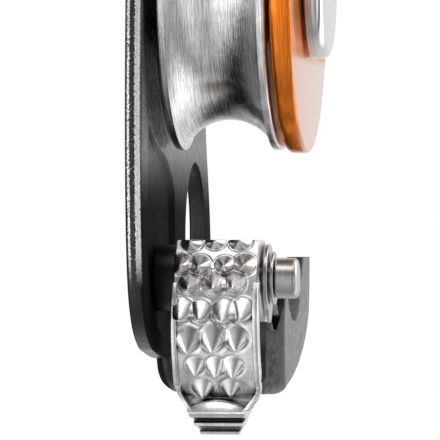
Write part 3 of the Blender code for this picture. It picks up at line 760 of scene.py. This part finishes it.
def tab_outline(x):
    """Ledge, lip and ribbed tab below FACE_FOOT, the face's end in mm, then the back and the hub.

    The ledge starts higher in the middle, so that it is lens-shaped from the front.
    """
    middle = max(1 - (x / (4.3 * MM)) ** 2, 0.04)
    top = LEDGE / MM + 1.5 * middle
    gap = FACE_FOOT - top
    fillet = [(-5.2, FACE_FOOT - 0.3 * gap), (-5.25, FACE_FOOT - 0.6 * gap), (-5.5, FACE_FOOT - 0.85 * gap)]
    ledge = fillet + [(-6.0, top), (-7.8 - 0.4 * (1 - middle), top - 0.02),
                      (-8.1 - 0.2 * (1 - middle), top - 0.35 * middle)]
    lip = [(-8.55, -18.02), (-8.75, -18.1), (-8.85, -18.3), (-8.6, -18.75), (-8.1, -18.9)]
    ribs = [(-6.0, -19.0), (-5.9, -19.4), (-7.0, -19.5), (-7.15, -19.7), (-7.0, -20.1), (-5.0, -20.2),
            (-4.9, -20.75), (-6.0, -20.85), (-6.05, -21.0), (-5.8, -21.2), (-5.2, -21.3), (-3.6, -21.3)]
    back = [(-2.6, -18.6), (0, -13), (2.6, -8.6), (4.6, -4)]
    return scaled(ledge + lip + ribs + back) + arc(0, 0, 5.2 * MM, -25, 95, 40)


def side_relief():
    """What sets the cam's sides back behind the lower half of the face."""
    points = []
    for i in range(31):
        point = face_point(0.36 + 0.62 * i / 30)
        points.append(tuple(point * (1 - 2.2 * MM / point.length)))
    return points + scaled([(-3.4, -17.5), (-2.4, -26), (12, -26), (12, -6), (1, -6)])


# Half the tab's width at each height below the cam's pin, and how far its middle is off the cam's, in mm
TAPER = [(2.6, -24), (2.6, -21.1), (3.25, -20), (3.6, -19.1), (3.95, -18.2), (4.35, -17.6),
         (5.1, -16.6), (5.65, -15.8), (5.95, -15.2), (6.1, -14.6)]
SHIFT = 0.2


def cam_taper(side):
    """What narrows the lower end of the cam towards the tab."""
    return prism([(side * x + SHIFT, z) for x, z in TAPER + [(8, -14.6), (8, -24)]], -30 * MM, 30 * MM)


def tapered_rim(side):
    """The raised rim where it runs down along the taper to the lip."""
    line = [(3.95, -18.0), (4.35, -17.5), (5.1, -16.5), (5.65, -15.7), (5.75, -15.1), (5.75, -14.2)]
    strip = line + [(x - 0.55, z) for x, z in reversed(line)]
    obj = finish("rim", prism([(side * x + SHIFT, z) for x, z in strip], -8.5 * MM, -5 * MM), None)
    before = scaled([(-6.75, -14), (-7.0, -15.3), (-8.4, -17.9), (-12, -17.9), (-12, -14)])
    combine(obj, "DIFFERENCE", slab(before, -9 * MM, 9 * MM))
    bm = bmesh.new()
    bm.from_mesh(obj.data)
    bpy.data.objects.remove(obj, do_unlink=True)
    return bm


def rim_outline():
    """The raised rim along each side of the face's lower half."""
    ts = [0.42 + 0.6 * i / 40 for i in range(41)]
    outer = []
    inner = []
    for t in ts:
        point = face_point(t)
        rise = 0.35 * MM * min((t - 0.42) / 0.1, 1)
        outer.append(tuple(point * (1 + rise / point.length)))
        inner.append(tuple(point * (1 - 2.4 * MM / point.length)))
    return outer + inner[::-1]


def cam():
    half = 5.6 * MM
    count = 128
    xs = [-half + 2 * half * i / count for i in range(count + 1)]
    lines = face_stations(xs, 250)
    bm = loft([(x, line + tab_outline(x)) for x, line in zip(xs, lines)])
    obj = finish("cam_look", bm, LOOKS["cast_stainless"], CAM_PIN, 50)
    inner = []
    for i in range(40):
        point = face_point(i / 44)
        inner.append(tuple(point * (1 - 1.5 * MM / point.length)))
    hollow = slab(inner + scaled([(4, -13), (12, -6), (12, 8), (-2, 8)]), 1.4 * MM - half, half - 1.4 * MM)
    combine(obj, "DIFFERENCE", hollow, CAM_PIN, 50)
    above_face = slab(scaled([(-20, 5.3), (0, 5.3), (0, 12), (-20, 12)]), -8 * MM, 8 * MM)
    combine(obj, "DIFFERENCE", above_face, CAM_PIN, 50)
    for side in (-1, 1):
        low, high = sorted((side * 4.5 * MM, side * 8 * MM))
        combine(obj, "DIFFERENCE", slab(side_relief(), low, high), CAM_PIN, 50)
    for side in (-1, 1):
        low, high = sorted((side * 5.2 * MM, side * 5.95 * MM))
        combine(obj, "UNION", slab(rim_outline(), low, high, 0.12 * MM, 2), CAM_PIN, 50)
    for side in (-1, 1):
        combine(obj, "DIFFERENCE", cam_taper(side), CAM_PIN, 50)
        combine(obj, "UNION", tapered_rim(side), CAM_PIN, 50)
    combine(obj, "DIFFERENCE", rod(-20 * MM, 20 * MM, 2.8 * MM), CAM_PIN, 50)
    deliver(obj, "cam_set", "cast_stainless", "cam")


def cam_fittings():
    head = WALL[0] - 0.3 * MM
    r = 2.2 * MM
    big = 2.8 * MM
    profile = [(head - 1.1 * MM, 0), (head - 1.1 * MM, 3 * MM), (head, 3.8 * MM), (head, r),
               (7.35 * MM, r), (7.35 * MM, big), (10.4 * MM, big), (10.4 * MM, 0)]
    bm = turned(rounded(profile, 0.75 * MM, 8))
    deliver(finish("cam_pin_look", bm, LOOKS["stainless"], CAM_PIN), "frame", "stainless", "cam_pin")

    disc = arc(0, 0, 4.7 * MM, -50, 250, 120)
    tongue = smooth([disc[-1], (-1.2 * MM, -5.1 * MM), (0.6 * MM, -6.1 * MM),
                     (2.0 * MM, -5.2 * MM), disc[0]], 8)
    bm = slab(disc[:-1] + tongue[:-1], 5.95 * MM, 6.5 * MM, 0.12 * MM, 3)
    obj = finish("cam_lock_leaf_look", bm, LOOKS["stainless"], CAM_PIN)
    combine(obj, "DIFFERENCE", rod(0, 20 * MM, 2.5 * MM), CAM_PIN)
    deliver(obj, "frame", "stainless", "cam_lock_leaf")
    # Partly painted shade: the washer is a real part, but it is black and wide so that the gap between the wall
    # and the cam reads as shade
    bm = turned(rounded([(-9.1 * MM, 2.5 * MM), (-6.2 * MM, 2.5 * MM), (-6.2 * MM, 4.6 * MM),
                         (-9.1 * MM, 4.6 * MM)], 0.15 * MM), 128)
    black = plain_look("black_spacer_as_shade", (0.008, 0.008, 0.009, 1), 0.35)
    obj = finish("cam_washer_look", bm, black, CAM_PIN)
    deliver(obj, "frame", "black_body", "cam_washer")
    ring("pin_washer", "stainless", "frame", CAM_PIN, 6.8, 7.2, 2.5, 3.65)
    ring("cam_bush", "bronze", "cam_set", CAM_PIN, -3.9, 3.9, 2.5, 3.1)
    bm = coil(-3.9 * MM, 3.9 * MM, 3.9 * MM, 0.4 * MM, 6)
    obj = finish("cam_spring_look", bm, LOOKS["spring_steel"], CAM_PIN)
    deliver(obj, "frame", "spring_steel", "cam_spring")
    bm = coil(3.2 * MM, 4.5 * MM, 2.6 * MM, 0.22 * MM, 1.5)
    obj = finish("catch_spring_look", bm, LOOKS["spring_steel"], CATCH)
    deliver(obj, "swing_plate", "spring_steel", "catch_spring")


body()
side_plate()
catch()
sheave()
axle()
cam()
cam_fittings()
ring("bearing_spacer", "stainless", "frame", AXLE, -0.7, 0.7, 6.3, 7.6)
ring("spacer_left", "stainless", "frame", AXLE, -8.3, -6.9, 6.3, 8)
ring("spacer_right", "stainless", "frame", AXLE, 6.9, 8, 6.3, 8)
ring("side_plate_bush", "bronze", "swing_plate", AXLE, 8.3, 11, 6.3, 7.5)
ring("seal_left", "seal_rubber", "wheel", AXLE, -6.55, -6.05, 8.3, 10.1)
ring("seal_right", "seal_rubber", "wheel", AXLE, 6.05, 6.55, 8.3, 10.1)

for name, node in frame["nodes"].items():
    for slot in node.material_slots:
        for part in frame["record"]["subparts"]:
            if part["node"] == name:
                slot.material = LOOKS[part["material_slot"]]


# ---------------------------------------------------------------------- stage

def floor():
    bm = bmesh.new()
    bmesh.ops.create_circle(bm, cap_ends=True, segments=96, radius=0.9)
    disc = finish("floor", bm, plain_look("pale_floor", (0.9, 0.9, 0.9, 1), 0.6), Vector((0, 0, -0.3)))
    disc.visible_glossy = False


def area_light(name, spot, aim, size, power):
    data = bpy.data.lights.new(name, "AREA")
    data.shape = "RECTANGLE"
    data.size, data.size_y = size
    data.energy = power
    lamp = bpy.data.objects.new(name, data)
    lamp.location = spot
    lamp.rotation_euler = (Vector(aim) - Vector(spot)).to_track_quat("-Z", "Y").to_euler()
    lamp.visible_camera = False
    bpy.context.scene.collection.objects.link(lamp)


# The room that reflections see, as (degrees, brightness), set by comparing renders with the photo.
# Both angles are 0 straight ahead of the front and 180 behind it. HEIGHTS is 90 overhead and BEARINGS
# is 90 towards +X. ROOM is the strength of it all.
ROOM = 1.8
HEIGHTS = [(-180, 1), (-110, 0.8), (-80, 0.5), (-34, 0.8), (-20, 1), (10, 0.7), (26, 0.3), (40, 0.3), (70, 1),
           (180, 1)]
BEARINGS = [(-180, 0.45), (-125, 0.45), (-100, 0.32), (-75, 0.36), (-55, 0.75), (-34, 0.8), (-17, 0.8),
            (-9, 0.5), (2, 0.32), (12, 0.14), (24, 0.16), (40, 0.7), (60, 0.7), (69, 0.08), (80, 0.08),
            (90, 0.7), (100, 1), (128, 1), (150, 0.45), (180, 0.45)]


def surroundings():
    """White to the camera; to reflections, a room with bright and dark bearings and heights."""
    world = bpy.data.worlds.new("studio")
    bpy.context.scene.world = world
    world.use_nodes = True
    tree = world.node_tree

    def math_node(operation, a, b=0.0):
        made = tree.nodes.new("ShaderNodeMath")
        made.operation = operation
        for socket, value in zip(made.inputs, (a, b)):
            if isinstance(value, bpy.types.NodeSocket):
                tree.links.new(value, socket)
            else:
                socket.default_value = value
        return made.outputs[0]

    def ramp(value, shades):
        made = tree.nodes.new("ShaderNodeValToRGB")
        points = made.color_ramp.elements
        points[0].color = grey(shades[0][1])
        points[1].color = grey(shades[-1][1])
        for place, shade in shades[1:-1]:
            points.new(place).color = grey(shade)
        tree.links.new(value, made.inputs[0])
        return made.outputs[0]

    backdrop = tree.nodes["Background"]
    backdrop.inputs["Color"].default_value = grey(1)
    parts = tree.nodes.new("ShaderNodeSeparateXYZ")
    tree.links.new(tree.nodes.new("ShaderNodeTexCoord").outputs["Generated"], parts.inputs[0])
    x, y, z = parts.outputs

    def by_angle(up, level, shades):
        angle = math_node("DIVIDE", math_node("ARCTAN2", up, level), math.tau)
        return ramp(math_node("ADD", angle, 0.5), [(place / 360 + 0.5, shade) for place, shade in shades])

    ahead = math_node("MULTIPLY", y, -1.0)
    steep = ramp(math_node("ABSOLUTE", z), [(0, 0), (0.75, 0), (0.97, 1), (1, 1)])
    blend = tree.nodes.new("ShaderNodeMix")
    blend.data_type = "RGBA"
    tree.links.new(steep, blend.inputs[0])
    tree.links.new(by_angle(x, ahead, BEARINGS), blend.inputs[6])
    blend.inputs[7].default_value = grey(0.4)
    shade = math_node("MULTIPLY", by_angle(z, ahead, HEIGHTS), blend.outputs[2])
    room = tree.nodes.new("ShaderNodeBackground")
    tree.links.new(shade, room.inputs[0])
    room.inputs[1].default_value = ROOM
    path = tree.nodes.new("ShaderNodeLightPath")
    pick = tree.nodes.new("ShaderNodeMixShader")
    tree.links.new(path.outputs["Is Camera Ray"], pick.inputs[0])
    tree.links.new(room.outputs[0], pick.inputs[1])
    tree.links.new(backdrop.outputs[0], pick.inputs[2])
    tree.links.new(pick.outputs[0], tree.nodes["World Output"].inputs[0])


def camera():
    data = bpy.data.cameras.new("camera")
    data.sensor_width = 36
    data.lens = 447.8
    data.clip_start = 0.01
    data.dof.use_dof = False
    cam_object = bpy.data.objects.new("camera", data)
    aim = AXLE + Vector((-1.44 * MM, 0, -32.6 * MM))
    turn = math.radians(7.3)
    cam_object.location = aim + 0.76 * Vector((math.sin(turn), -math.cos(turn), 0))
    cam_object.rotation_euler = (math.radians(90), 0, turn)
    bpy.context.scene.collection.objects.link(cam_object)
    bpy.context.scene.camera = cam_object


floor()
surroundings()
area_light("left_light", (-0.6, -0.35, 0.1), (0, 0, -0.06), (0.35, 0.7), 1.5)
area_light("right_light", (0.5, 0.3, 0.2), (0, 0, -0.06), (0.3, 0.5), 1.2)
area_light("top_light", (-0.1, -0.3, 0.6), (0, 0, -0.06), (0.7, 0.4), 1.3)
camera()
bpy.context.scene.view_settings.view_transform = "Standard"
